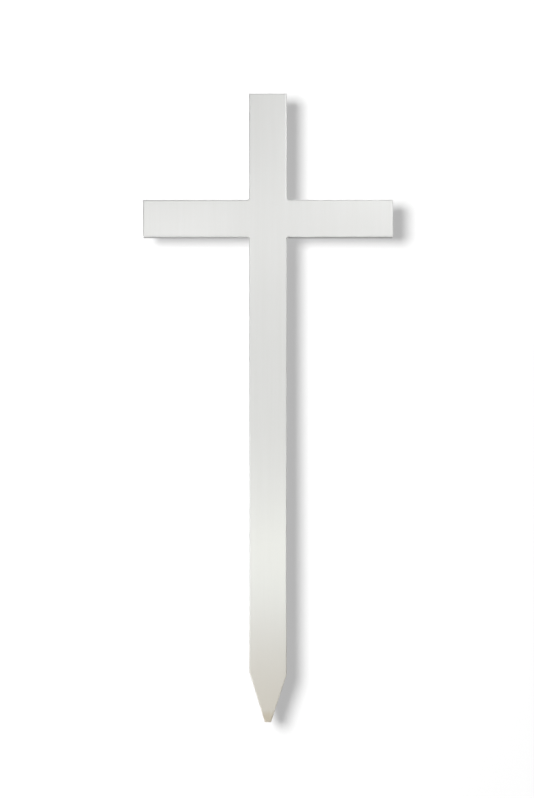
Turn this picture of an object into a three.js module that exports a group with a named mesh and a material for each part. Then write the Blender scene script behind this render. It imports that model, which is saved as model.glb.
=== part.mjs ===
// A plain grave cross, cut in one piece from a board and painted white, with a pointed foot that is set in the ground.
// Millimetres, +Z up. The origin is the middle of the flat tip of the foot, and the front faces -Y.
import * as THREE from "three";

// Board and overall size
const crossHeight = 1000; // from the tip of the foot to the top of the head
const boardThickness = 20;
const uprightWidth = 60;
const crosspieceHeight = 59; // a little narrower than the upright, as measured

// How far the three free ends stand out past the crossing
const headReach = 169;
const armReach = 169;

// Pointed foot: the two slanting cuts start at slightly different heights, as sawn
const tipWidth = 10;
const leftPointLength = 81; // on the -X side, measured up from the tip
const rightPointLength = 75;

// Edges
const cutterRadius = 3; // what the cutter leaves in each inner corner
const arrisRadius = 2; // sanded rounding along the front and back edges

// How finely the curves are divided
const stepsPerInnerCorner = 8;
const stepsPerArris = 5;

const quarterTurn = Math.PI / 2;
const halfUpright = uprightWidth / 2;
const armEnd = halfUpright + armReach;
const crosspieceTop = crossHeight - headReach;
const crosspieceBottom = crosspieceTop - crosspieceHeight;

// One rounded inner corner: side is +1 on the +X side of the upright, and away is +1 above the crosspiece.
function roundInnerCorner(outline, side, away, startAngle) {
  const edge = away > 0 ? crosspieceTop : crosspieceBottom;
  const centreX = side * (halfUpright + cutterRadius);
  const centreZ = edge + away * cutterRadius;
  outline.absarc(centreX, centreZ, cutterRadius, startAngle, startAngle - quarterTurn, true);
}

// The front view of the cross, anticlockwise from the left of the tip, as X to the right and Z up.
function crossOutline() {
  const outline = new THREE.Shape();
  outline.moveTo(-tipWidth / 2, 0);
  outline.lineTo(tipWidth / 2, 0);
  outline.lineTo(halfUpright, rightPointLength);
  roundInnerCorner(outline, 1, -1, 2 * quarterTurn);
  outline.lineTo(armEnd, crosspieceBottom);
  outline.lineTo(armEnd, crosspieceTop);
  roundInnerCorner(outline, 1, 1, 3 * quarterTurn);
  outline.lineTo(halfUpright, crossHeight);
  outline.lineTo(-halfUpright, crossHeight);
  roundInnerCorner(outline, -1, 1, 4 * quarterTurn);
  outline.lineTo(-armEnd, crosspieceTop);
  outline.lineTo(-armEnd, crosspieceBottom);
  roundInnerCorner(outline, -1, -1, quarterTurn);
  outline.lineTo(-halfUpright, leftPointLength);
  outline.closePath();
  return outline;
}

// The board: the outline at full thickness, with its front and back edges rounded inside the outline.
function cutBoard() {
  return new THREE.ExtrudeGeometry(crossOutline(), {
    depth: boardThickness - 2 * arrisRadius,
    bevelThickness: arrisRadius,
    bevelSize: arrisRadius,
    bevelOffset: -arrisRadius,
    bevelSegments: stepsPerArris,
    curveSegments: stepsPerInnerCorner / 2,
  });
}

const whitePaint = new THREE.MeshStandardMaterial({
  color: 0xe2e2e0,
  roughness: 0.42,
  metalness: 0,
});

const cross = new THREE.Mesh(cutBoard(), whitePaint);
cross.name = "cross";
cross.rotation.x = quarterTurn; // the outline stands up, and the thickness runs along Y
cross.position.y = boardThickness / 2 - arrisRadius;

const graveCross = new THREE.Group();
graveCross.add(cross);

export default graveCross;
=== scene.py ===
# A plain grave cross in satin white paint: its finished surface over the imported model, and a white studio.
# Metres, +Z up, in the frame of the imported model: the cross stands on its tip at the origin and faces -Y.
import math

import bmesh
import bpy
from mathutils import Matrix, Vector, noise
from mathutils.geometry import delaunay_2d_cdt


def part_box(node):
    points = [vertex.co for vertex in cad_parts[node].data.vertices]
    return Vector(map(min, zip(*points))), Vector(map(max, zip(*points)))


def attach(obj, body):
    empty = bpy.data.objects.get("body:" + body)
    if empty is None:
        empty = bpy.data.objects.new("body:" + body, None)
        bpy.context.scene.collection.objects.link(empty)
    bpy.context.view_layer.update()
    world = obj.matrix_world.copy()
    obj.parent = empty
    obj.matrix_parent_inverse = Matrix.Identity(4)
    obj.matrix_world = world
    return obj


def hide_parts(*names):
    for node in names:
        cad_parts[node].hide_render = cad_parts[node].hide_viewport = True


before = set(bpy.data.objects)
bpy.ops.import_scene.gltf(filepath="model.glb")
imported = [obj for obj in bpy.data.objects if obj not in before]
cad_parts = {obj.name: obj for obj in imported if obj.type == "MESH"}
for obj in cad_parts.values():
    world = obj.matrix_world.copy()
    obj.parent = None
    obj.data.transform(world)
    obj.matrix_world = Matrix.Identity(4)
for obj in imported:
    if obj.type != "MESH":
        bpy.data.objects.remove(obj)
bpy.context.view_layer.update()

# The board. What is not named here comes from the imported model's box.
board_corner = Vector(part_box("cross")[1])
arm_end = board_corner.x
cross_height = board_corner.z
half_thickness = board_corner.y
half_upright = 0.030
crosspiece_height = 0.059
head_reach = 0.169
half_tip = 0.005
left_point_length = 0.081
right_point_length = 0.075
crosspiece_top = cross_height - head_reach
crosspiece_bottom = crosspiece_top - crosspiece_height

# Edges
cutter_radius = 0.003  # inner corners, seen from the front
corner_radius = 0.0007  # outer corners, just broken with sandpaper
arris_radius = 0.002  # long rounding along the front and back edges

# How fine the mesh is
edge_step = 0.003
fewest_edge_steps = 2
corner_steps = 6
arris_steps = 7
side_steps = 6
border_insets = (0.0032, 0.0014)  # rings on the flat, measured in from the arris
grain_row = 0.0017  # across the grain, between the points of the flat
grain_run = 0.0034  # along the grain
same_place = 1e-7  # points closer than this are one point

# Wear and unevenness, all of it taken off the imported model's surface
sanding_depth = 0.00005  # slow waves left by sanding
sanding_length = 0.070
sanding_seed = 3.7
arris_wear_depth = 0.00012  # arrises are rubbed a little rounder in places
arris_wear_length = 0.045
arris_wear_seed = 11.3
raised_grain_depth = 0.000022  # grain that stands up through the paint
raised_grain_width = 0.0045
raised_grain_length = 0.110
raised_grain_seed = 5.1
end_grain_depth = 0.00005  # sawn end grain under the paint
end_grain_size = 0.0040
end_grain_seed = 8.9


def board_corners():
    """The corners of the front view as (x, z) and a rounding, anticlockwise from the left of the tip."""
    return [
        (Vector((-half_tip, 0.0)), corner_radius),
        (Vector((half_tip, 0.0)), corner_radius),
        (Vector((half_upright, right_point_length)), corner_radius),
        (Vector((half_upright, crosspiece_bottom)), cutter_radius),
        (Vector((arm_end, crosspiece_bottom)), corner_radius),
        (Vector((arm_end, crosspiece_top)), corner_radius),
        (Vector((half_upright, crosspiece_top)), cutter_radius),
        (Vector((half_upright, cross_height)), corner_radius),
        (Vector((-half_upright, cross_height)), corner_radius),
        (Vector((-half_upright, crosspiece_top)), cutter_radius),
        (Vector((-arm_end, crosspiece_top)), corner_radius),
        (Vector((-arm_end, crosspiece_bottom)), corner_radius),
        (Vector((-half_upright, crosspiece_bottom)), cutter_radius),
        (Vector((-half_upright, left_point_length)), corner_radius),
    ]


def outward_normal(start, end):
    along = (end - start).normalized()
    return Vector((along.y, -along.x))


def rounded_corner(before, corner, after, radius, inset):
    """Points round one corner of the outline, once the outline has moved inwards by the inset."""
    first = outward_normal(before, corner)
    last = outward_normal(corner, after)
    mitre = (first + last) / (1 + first.dot(last))
    hollow = (corner - before).cross(after - corner) < 0
    centre = corner + radius * mitre if hollow else corner - radius * mitre
    reach = -(radius + inset) if hollow else radius - inset
    if not hollow and reach < 0:
        centre = corner - inset * mitre
        reach = 0.0
    turn = first.angle_signed(last)
    start_angle = math.atan2(first.y, first.x)
    points = []
    for step in range(corner_steps + 1):
        angle = start_angle - turn * step / corner_steps
        points.append(centre + reach * Vector((math.cos(angle), math.sin(angle))))
    return points


def outline_ring(inset):
    """The front view's outline moved inwards. It has the same number of points whatever the inset."""
    corners = board_corners()
    count = len(corners)
    rounded = []
    for place in range(count):
        before = corners[place - 1][0]
        corner, radius = corners[place]
        after = corners[(place + 1) % count][0]
        rounded.append(rounded_corner(before, corner, after, radius, inset))
    ring = []
    for place in range(count):
        following = (place + 1) % count
        length = (corners[following][0] - corners[place][0]).length
        steps = max(fewest_edge_steps, round(length / edge_step))
        start = rounded[place][-1]
        end = rounded[following][0]
        ring.extend(rounded[place])
        ring.extend(start.lerp(end, step / steps) for step in range(1, steps))
    return ring


def board_profile():
    """Pairs of inset and Y, from the flat of the front, round its arris, over the side and to the back."""
    front = [(arris_radius + inset, -half_thickness) for inset in border_insets]
    for step in range(arris_steps + 1):
        angle = math.pi / 2 * (1 - step / arris_steps)
        inset = arris_radius * (1 - math.cos(angle))
        front.append((inset, -half_thickness + arris_radius * (1 - math.sin(angle))))
    half_side = half_thickness - arris_radius
    side = [(0.0, half_side * (2 * step / side_steps - 1)) for step in range(1, side_steps)]
    back = [(inset, -y) for inset, y in reversed(front)]
    return front + side + back


def foot_edge(z, point_length):
    """How far the foot reaches to one side at a height, with the slanting cut on that side."""
    share = min(1.0, z / point_length)
    return half_tip + (half_upright - half_tip) * share


def on_the_flat(x, z, margin):
    """Whether a point of the front view lies on the flat, at least the margin in from the outline."""
    if not margin <= z <= cross_height - margin:
        return False
    if crosspiece_bottom + margin <= z <= crosspiece_top - margin:
        return abs(x) <= arm_end - margin
    point_length = right_point_length if x > 0 else left_point_length
    return abs(x) <= foot_edge(z, point_length) - margin


def flat_points(margin):
    """Rows of points over the flat, every second row shifted by half a step."""
    points = []
    columns = int(arm_end / grain_row) + 1
    for row in range(1, int(cross_height / grain_run)):
        z = row * grain_run
        shift = (row % 2) / 2
        for column in range(-columns, columns):
            x = (column + shift) * grain_row
            if on_the_flat(x, z, margin):
                points.append(Vector((x, z)))
    return points


def fill_flat(mesh, ring, loose_points, y):
    """Covers the flat inside a ring of vertices with triangles that also use the loose points."""
    rim = [Vector((vertex.co.x, vertex.co.z)) for vertex in ring]
    inside_only = 1
    found, _, triangles, sources, _, _ = delaunay_2d_cdt(
        rim + loose_points, [], [list(range(len(rim)))], inside_only, same_place
    )
    vertices = []
    for point, source in zip(found, sources):
        on_rim = [index for index in source if index < len(rim)]
        vertices.append(ring[on_rim[0]] if on_rim else mesh.verts.new((point.x, y, point.y)))
    for triangle in triangles:
        corners = [vertices[index] for index in triangle]
        mesh.faces.new(corners if y < 0 else reversed(corners))


def unique_in_order(ring):
    """The ring's vertices that are left once its sharp corners have been merged."""
    kept = []
    for vertex in ring:
        if vertex.is_valid and vertex not in kept[-1:]:
            kept.append(vertex)
    return kept


def waves(place, size, seed):
    """Smooth noise from 0 to 1, with the size of its waves along X, Y and Z."""
    scaled = Vector((place.x / size[0], place.y / size[1], place.z / size[2]))
    return 0.5 + 0.5 * noise.noise(scaled + Vector((seed, -seed, 2.0 * seed)))


def wear_depth(place, normal):
    """How much is gone from the board's surface at a place: never less than nothing."""
    grain_size = (raised_grain_width, raised_grain_width, raised_grain_length)
    sanding = waves(place, (sanding_length,) * 3, sanding_seed)
    rubbed = waves(place, (arris_wear_length,) * 3, arris_wear_seed) ** 2
    grain = waves(place, grain_size, raised_grain_seed)
    sawn = waves(place, (end_grain_size,) * 3, end_grain_seed)
    flatness = max(abs(normal.x), abs(normal.y), abs(normal.z))
    on_arris = max(0.0, 1 - flatness) / (1 - math.sqrt(0.5))  # 1 halfway round an arris
    on_end_grain = normal.z ** 2
    depth = sanding_depth * sanding
    depth += arris_wear_depth * rubbed * on_arris
    depth += raised_grain_depth * grain * (1 - on_end_grain)
    depth += end_grain_depth * sawn * on_end_grain
    return depth


def make_cross():
    """The whole board as one closed mesh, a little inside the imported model."""
    mesh = bmesh.new()
    rings = []
    for inset, y in board_profile():
        rings.append([mesh.verts.new((point.x, y, point.y)) for point in outline_ring(inset)])
    for nearer, farther in zip(rings, rings[1:]):
        for place in range(len(nearer)):
            following = (place + 1) % len(nearer)
            mesh.faces.new((nearer[place], farther[place], farther[following], nearer[following]))
    bmesh.ops.remove_doubles(mesh, verts=mesh.verts[:], dist=same_place)
    loose_points = flat_points(arris_radius + border_insets[0] + grain_row / 2)
    fill_flat(mesh, unique_in_order(rings[0]), loose_points, -half_thickness)
    fill_flat(mesh, unique_in_order(rings[-1]), loose_points, half_thickness)
    mesh.normal_update()
    worn = [vertex.co - vertex.normal * wear_depth(vertex.co, vertex.normal) for vertex in mesh.verts]
    for vertex, place in zip(mesh.verts, worn):
        vertex.co = place
    data = bpy.data.meshes.new("painted_cross")
    mesh.to_mesh(data)
    mesh.free()
    data.shade_smooth()
    piece = bpy.data.objects.new("painted_cross", data)
    bpy.context.scene.collection.objects.link(piece)
    return piece


class Number:
    """A value that varies over a surface: a node's output. Sums on it add Math nodes."""

    def __init__(self, finish, socket):
        self.finish = finish
        self.socket = socket

    def combine(self, operation, first, second):
        made = self.finish.node("ShaderNodeMath", {"operation": operation}, {0: first, 1: second})
        return Number(self.finish, made.outputs[0])

    def __add__(self, other):
        return self.combine("ADD", self, other)

    def __sub__(self, other):
        return self.combine("SUBTRACT", self, other)

    def __rsub__(self, other):
        return self.combine("SUBTRACT", other, self)

    def __mul__(self, other):
        return self.combine("MULTIPLY", self, other)

    __radd__ = __add__
    __rmul__ = __mul__


class Finish:
    """The nodes of a material, a lamp or the world, and the one method that adds a node to them."""

    def __init__(self, owner):
        owner.use_nodes = True
        self.owner = owner
        self.tree = owner.node_tree

    def node(self, kind, settings=None, values=None):
        made = self.tree.nodes.new(kind)
        for name, setting in (settings or {}).items():
            setattr(made, name, setting)
        for name, value in (values or {}).items():
            self.feed(made.inputs[name], value)
        return made

    def feed(self, target, value):
        if isinstance(value, Number):
            self.tree.links.new(value.socket, target)
        elif isinstance(value, bpy.types.NodeSocket):
            self.tree.links.new(value, target)
        else:
            target.default_value = value

    def stretched_noise(self, place, waves_per_metre, detail=2.0, distortion=0.0):
        """Noise from 0 to 1 with its own number of waves along X, Y and Z."""
        factors = {0: place, 1: waves_per_metre}
        scaled = self.node("ShaderNodeVectorMath", {"operation": "MULTIPLY"}, factors)
        values = {"Vector": scaled.outputs[0], "Scale": 1.0, "Detail": detail, "Distortion": distortion}
        return Number(self, self.node("ShaderNodeTexNoise", None, values).outputs[0])

    def fade(self, value, start, end):
        """0 at the start, 1 at the end, and smooth between."""
        values = {"Value": value, "From Min": start, "From Max": end}
        made = self.node("ShaderNodeMapRange", {"interpolation_type": "SMOOTHSTEP"}, values)
        return Number(self, made.outputs[0])

    def blend(self, share, first, second):
        """The first colour where the share is 0 and the second where it is 1."""
        colours = {"Factor": share, 6: first, 7: second}
        return self.node("ShaderNodeMix", {"data_type": "RGBA"}, colours).outputs[2]


# Paint colours
paint_colour = (0.752, 0.752, 0.750, 1.0)
thin_paint_colour = (0.722, 0.722, 0.714, 1.0)
foot_colour = (0.682, 0.648, 0.591, 1.0)
tip_colour = (0.610, 0.555, 0.465, 1.0)

# Noise in the paint, as waves per metre along X, Y and Z. The grain runs along Z.
cloud_waves = (9.0, 9.0, 5.0)
figure_waves = (95.0, 95.0, 2.6)
fibre_waves = (620.0, 620.0, 14.0)
brushing_waves = (900.0, 900.0, 90.0)
pore_waves = (900.0, 900.0, 900.0)
figure_detail = 3.0
figure_distortion = 0.4
noise_middle = 0.5

# Where the paint is thin: the noises' shares, where they start and end to thin it, and how much at most
cloud_share = 0.35
figure_share = 0.40
fibre_share = 0.25
thin_fade = (0.35, 0.65)
most_thinning = 0.6

# Where the paint turns greyer and then tan, as heights above the tip, and how ragged those borders are
foot_fade = (0.240, 0.000)
foot_raggedness = 0.030
tip_fade = (0.022, 0.010)
tip_raggedness = 0.010

# Gloss and relief
paint_roughness = 0.23
cloud_roughness = 0.05
brushing_roughness = 0.06
end_grain_roughness = 0.12
weathered_roughness = 0.38  # rain and sun leave the faces that look up more matt
weathered_slope = (0.6, 0.95)  # starts and is full where the surface's normal has this much of Z
relief_share = 0.5  # of the fibres, and the same of the brushing
bump_height = 0.00004
bump_strength = 0.5


def white_paint():
    """Satin white paint over long-grained wood, turning greyer and then tan towards the foot."""
    material = bpy.data.materials.new("white_paint")
    finish = Finish(material)
    shader = finish.tree.nodes["Principled BSDF"]
    place = finish.node("ShaderNodeTexCoord").outputs["Object"]
    height = Number(finish, finish.node("ShaderNodeSeparateXYZ", None, {0: place}).outputs["Z"])
    facing = finish.node("ShaderNodeNewGeometry").outputs["Normal"]
    upward = Number(finish, finish.node("ShaderNodeSeparateXYZ", None, {0: facing}).outputs["Z"])
    end_grain = upward * upward

    clouds = finish.stretched_noise(place, cloud_waves)
    figure = finish.stretched_noise(place, figure_waves, figure_detail, figure_distortion)
    fibres = finish.stretched_noise(place, fibre_waves)
    brushing = finish.stretched_noise(place, brushing_waves)
    pores = finish.stretched_noise(place, pore_waves)

    uneven = cloud_share * clouds + figure_share * figure + fibre_share * fibres
    thinness = finish.fade(uneven, *thin_fade)
    colour = finish.blend(thinness * most_thinning, paint_colour, thin_paint_colour)
    ragged_height = height + foot_raggedness * (figure - noise_middle)
    colour = finish.blend(finish.fade(ragged_height, *foot_fade), colour, foot_colour)
    ragged_tip = height + tip_raggedness * (fibres - noise_middle)
    colour = finish.blend(finish.fade(ragged_tip, *tip_fade), colour, tip_colour)

    roughness = paint_roughness + cloud_roughness * (clouds - noise_middle)
    roughness = roughness + brushing_roughness * (brushing - noise_middle) + end_grain_roughness * end_grain
    roughness = roughness + weathered_roughness * finish.fade(upward, *weathered_slope)
    long_grain_relief = relief_share * fibres + relief_share * brushing
    relief = long_grain_relief * (1 - end_grain) + pores * end_grain
    bump_values = {"Strength": bump_strength, "Distance": bump_height, "Height": relief}
    bump = finish.node("ShaderNodeBump", None, bump_values)

    finish.feed(shader.inputs["Base Color"], colour)
    finish.feed(shader.inputs["Roughness"], roughness)
    finish.feed(shader.inputs["Normal"], bump.outputs[0])
    return material


# The sheets of the studio. The cross hangs free in front of the backdrop and above the floor.
backdrop_gap = 0.040  # from the cross's back
backdrop_half_width = 0.52
backdrop_height = 1.25
floor_half_width = 5.0
floor_drop = 0.14
sheet_colour = (0.10, 0.10, 0.10, 1.0)  # dark, so light off the cross's back doesn't fill its shadow
backdrop_glow = 0.445  # the tone of the shadow
floor_glow = 0.97

# The world: how bright it is as a light, and how bright where the camera looks past the floor
fill_radiance = 0.02
seen_radiance = 1.05

# The light that throws the shadow
shadow_light_place = (-0.88, -2.01, 0.86)
shadow_light_radius = 0.47
shadow_light_energy = 279.0

# Softboxes on a circle round the cross: degrees from the front towards the right, height and radiance
side_light_distance = 1.3
side_light_width = 0.45
side_lights = {
    "left_edge": (-85, -0.35, 9.5),
    "right_edge": (85, -0.90, 7.0),
    "left_side": (-60, 0.15, 16.8),
    "right_front": (35, 1.15, 12.4),
    "right_side": (60, 1.15, 5.4),
    "low_front_left": (-12, 0.15, 1.9),
    "low_front_right": (12, 0.15, 1.8),
}

# Panels behind the camera, which the face mirrors as soft patches: X, Z, radiance and tint
panel_y = -2.05
panel_width = 0.35
panel_height = 0.25
white = (1.0, 1.0, 1.0)
low_tint = (0.97, 1.02, 0.78)
panels = {
    "upper_left": (-0.35, 1.05, 9.5, white),
    "upper": (0.0, 1.05, 2.5, white),
    "upper_right": (0.35, 1.05, 1.6, white),
    "high_right": (0.35, 1.30, 6.4, white),
    "lower": (0.0, 0.0, 6.2, low_tint),
    "lower_right": (0.35, 0.0, 7.4, low_tint),
}

# Softboxes below, behind and above: place, target, width, height, radiance, and whether it is mirrored
middle = (0.0, 0.0, 0.55)
other_lights = {
    "underneath": ((0.0, -0.3, -1.0), (0.0, 0.0, 0.0), 0.8, 0.8, 2.6, True),
    "back_right": ((1.27, 1.27, 0.55), middle, 0.7, 1.4, 4.8, False),
    "back_left": ((-1.27, 1.27, 0.55), middle, 0.7, 1.4, 4.4, False),
    "back_top": ((0.0, 1.27, 1.90), middle, 1.2, 0.8, 3.0, False),
    "overhead": ((0.40, -0.20, 2.10), (0.1, 0.0, 0.9), 0.8, 0.8, 1.6, False),
}

# The camera looks level, straight at the front
camera_place = (-0.0015, -2.01, 0.5127)
camera_lens = 56.62


def flat_sheet(name, corners, finish):
    """One sheet of the studio. It takes the cross's shadow, and throws no light or shadow back on it."""
    data = bpy.data.meshes.new(name)
    data.from_pydata(corners, [], [range(len(corners))])
    data.materials.append(finish.owner)
    sheet = bpy.data.objects.new(name, data)
    stage.objects.link(sheet)
    sheet.visible_diffuse = False
    sheet.visible_glossy = False
    sheet.visible_shadow = False
    return sheet


def sheet_finish(name, glow):
    """A matt dark sheet that glows evenly. The shadow light takes it from there up to white."""
    finish = Finish(bpy.data.materials.new(name))
    shader = finish.tree.nodes["Principled BSDF"]
    finish.feed(shader.inputs["Base Color"], sheet_colour)
    finish.feed(shader.inputs["Roughness"], 1.0)
    finish.feed(shader.inputs["Specular IOR Level"], 0.0)
    finish.feed(shader.inputs["Emission Color"], (*white, 1.0))
    finish.feed(shader.inputs["Emission Strength"], glow)
    return finish


def make_floor():
    reach = floor_half_width
    z = -floor_drop
    corners = [(-reach, -reach, z), (reach, -reach, z), (reach, reach, z), (-reach, reach, z)]
    return flat_sheet("floor", corners, sheet_finish("floor_sheet", floor_glow))


def make_backdrop():
    """A sheet just behind the cross, which catches its shadow. Seen from behind, it is clear."""
    reach = backdrop_half_width
    y = half_thickness + backdrop_gap
    low = -floor_drop
    corners = [(-reach, y, low), (reach, y, low), (reach, y, backdrop_height), (-reach, y, backdrop_height)]
    finish = sheet_finish("backdrop_sheet", backdrop_glow)
    nodes = finish.tree.nodes
    behind = finish.node("ShaderNodeNewGeometry").outputs["Backfacing"]
    clear = finish.node("ShaderNodeBsdfTransparent").outputs[0]
    front = nodes["Principled BSDF"].outputs[0]
    either = finish.node("ShaderNodeMixShader", None, {0: behind, 1: front, 2: clear})
    finish.feed(nodes["Material Output"].inputs["Surface"], either.outputs[0])
    return flat_sheet("backdrop", corners, finish)


def hang_lamp(name, light, place, lit):
    """A lamp at its place that lights one collection alone."""
    lamp = bpy.data.objects.new(name, light)
    bpy.context.scene.collection.objects.link(lamp)
    lamp.location = place
    lamp.light_linking.receiver_collection = lit
    return lamp


def softbox(name, place, target, width, height, radiance, mirrored=True, tint=white):
    """A studio softbox that lights the cross alone."""
    light = bpy.data.lights.new(name, "AREA")
    light.shape = "RECTANGLE"
    light.size = width
    light.size_y = height
    light.energy = radiance * math.pi * width * height
    light.color = tint
    lamp = hang_lamp(name, light, place, part)
    lamp.rotation_euler = (Vector(target) - Vector(place)).to_track_quat("-Z", "Y").to_euler()
    lamp.visible_camera = False
    lamp.visible_glossy = mirrored


def side_light(name, turn, height, radiance):
    angle = math.radians(turn)
    place = (side_light_distance * math.sin(angle), -side_light_distance * math.cos(angle), height)
    softbox(name, place, (0.0, 0.0, height), side_light_width, side_light_width, radiance)


def panel(name, x, z, radiance, tint):
    softbox(name, (x, panel_y, z), (x, 0.0, z), panel_width, panel_height, radiance, tint=tint)


def shadow_light():
    """The large soft light to the upper left that throws the shadow. It doesn't fade with distance."""
    light = bpy.data.lights.new("shadow_light", "POINT")
    light.shadow_soft_size = shadow_light_radius
    light.energy = shadow_light_energy
    finish = Finish(light)
    steady = finish.node("ShaderNodeLightFalloff", None, {"Strength": 1.0}).outputs["Constant"]
    finish.feed(finish.tree.nodes["Emission"].inputs["Strength"], steady)
    hang_lamp("shadow_light", light, shadow_light_place, stage)


def light_world():
    """Faint fill light all round, and white where the camera looks past the floor."""
    world = bpy.data.worlds.new("studio")
    bpy.context.scene.world = world
    finish = Finish(world)
    colour = (*white, 1.0)
    seen = finish.node("ShaderNodeBackground", None, {"Color": colour, "Strength": seen_radiance})
    fill = finish.node("ShaderNodeBackground", None, {"Color": colour, "Strength": fill_radiance})
    looked_at = finish.node("ShaderNodeLightPath").outputs["Is Camera Ray"]
    choices = {0: looked_at, 1: fill.outputs[0], 2: seen.outputs[0]}
    either = finish.node("ShaderNodeMixShader", None, choices)
    finish.feed(finish.tree.nodes["World Output"].inputs["Surface"], either.outputs[0])


def place_camera():
    camera = bpy.data.objects.new("camera", bpy.data.cameras.new("camera"))
    bpy.context.scene.collection.objects.link(camera)
    camera.location = camera_place
    camera.rotation_euler = (math.pi / 2, 0, 0)
    camera.data.lens = camera_lens
    bpy.context.scene.camera = camera


part = bpy.data.collections.new("part")
stage = bpy.data.collections.new("stage")
bpy.context.scene.collection.children.link(part)
bpy.context.scene.collection.children.link(stage)

cross = make_cross()
cross.data.materials.append(white_paint())
part.objects.link(cross)
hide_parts("cross")
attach(cross, "root")

make_floor()
make_backdrop()

shadow_light()
light_world()
for name, values in side_lights.items():
    side_light(name, *values)
for name, values in panels.items():
    panel(name, *values)
for name, values in other_lights.items():
    softbox(name, *values)

place_camera()
bpy.context.scene.view_settings.view_transform = "Standard"
